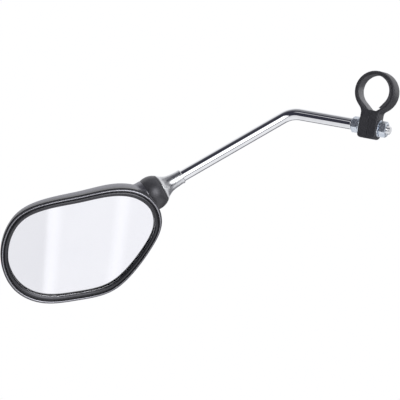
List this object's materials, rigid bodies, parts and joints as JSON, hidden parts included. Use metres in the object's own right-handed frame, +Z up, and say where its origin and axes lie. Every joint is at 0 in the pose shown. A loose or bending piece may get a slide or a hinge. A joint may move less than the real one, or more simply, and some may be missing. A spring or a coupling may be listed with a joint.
{
  "type": "bicycle handlebar mirror",
  "caption": "Left-hand rear-view mirror on a bent chromed arm, with a band clamp for the handlebar and a ball-jointed head with convex glass.",
  "frame": {"origin": "centre of the handlebar bore of the clamp, at the middle of its width", "axes": "+Z up, +Y along the handlebar away from the rider's side of the glass, -X out to the head; the glass faces -Y"},
  "size_m": [0.2581, 0.1053, 0.16],
  "materials": {
    "band_plastic": "satin moulded nylon",
    "liner_rubber": "matt rubber",
    "zinc_steel": "bright zinc plate",
    "arm_chrome": "bright chrome plate",
    "collar_plate": "satin plated",
    "ball_plastic": "satin moulded",
    "spring_steel": "plain steel",
    "shell_plastic": "satin moulded",
    "bezel_plastic": "semi-gloss moulded",
    "glass": "clear convex glass",
    "silver": "silvered back",
    "foam": "closed-cell foam",
    "carrier_plastic": "plain moulded"
  },
  "bodies": {
    "clamp": {"clamp_band": "band_plastic", "clamp_liner": "liner_rubber", "inner_washer": "zinc_steel", "outer_washer": "zinc_steel"},
    "arm": {"arm_rod": "arm_chrome", "inner_nut": "zinc_steel", "outer_nut": "zinc_steel", "arm_collar": "collar_plate", "collar_pin": "spring_steel", "swivel_ball": "ball_plastic", "disc_spring": "spring_steel", "stem_nut": "zinc_steel"},
    "spring_seat": {"pressure_washer": "spring_steel"},
    "friction_ring": {"friction_washer": "carrier_plastic"},
    "head": {"housing_shell": "shell_plastic", "glass_bezel": "bezel_plastic", "mirror_glass": "glass", "mirror_coating": "silver", "foam_pad": "foam", "glass_carrier": "carrier_plastic", "carrier_screws": "zinc_steel"}
  },
  "joints": [
    {"name": "arm_swivel", "type": "hinge", "parent": "clamp", "child": "arm", "pos_m": [-0.00477, 0, -0.02454], "axis": [0.9816, 0, -0.1908], "continuous": true},
    {"name": "head_spin", "type": "hinge", "parent": "arm", "child": "spring_seat", "pos_m": [-0.14865, -0.04353, -0.06979], "axis": [0.7721, 0.3883, 0.503], "continuous": true},
    {"name": "head_tilt", "type": "hinge", "parent": "spring_seat", "child": "friction_ring", "pos_m": [-0.14865, -0.04353, -0.06979], "axis": [0.5832, -0.7474, -0.3182], "range_deg": [-12, 12]},
    {"name": "head_pan", "type": "hinge", "parent": "friction_ring", "child": "head", "pos_m": [-0.14865, -0.04353, -0.06979], "axis": [-0.2524, -0.5391, 0.8036], "range_deg": [-12, 12]}
  ]
}
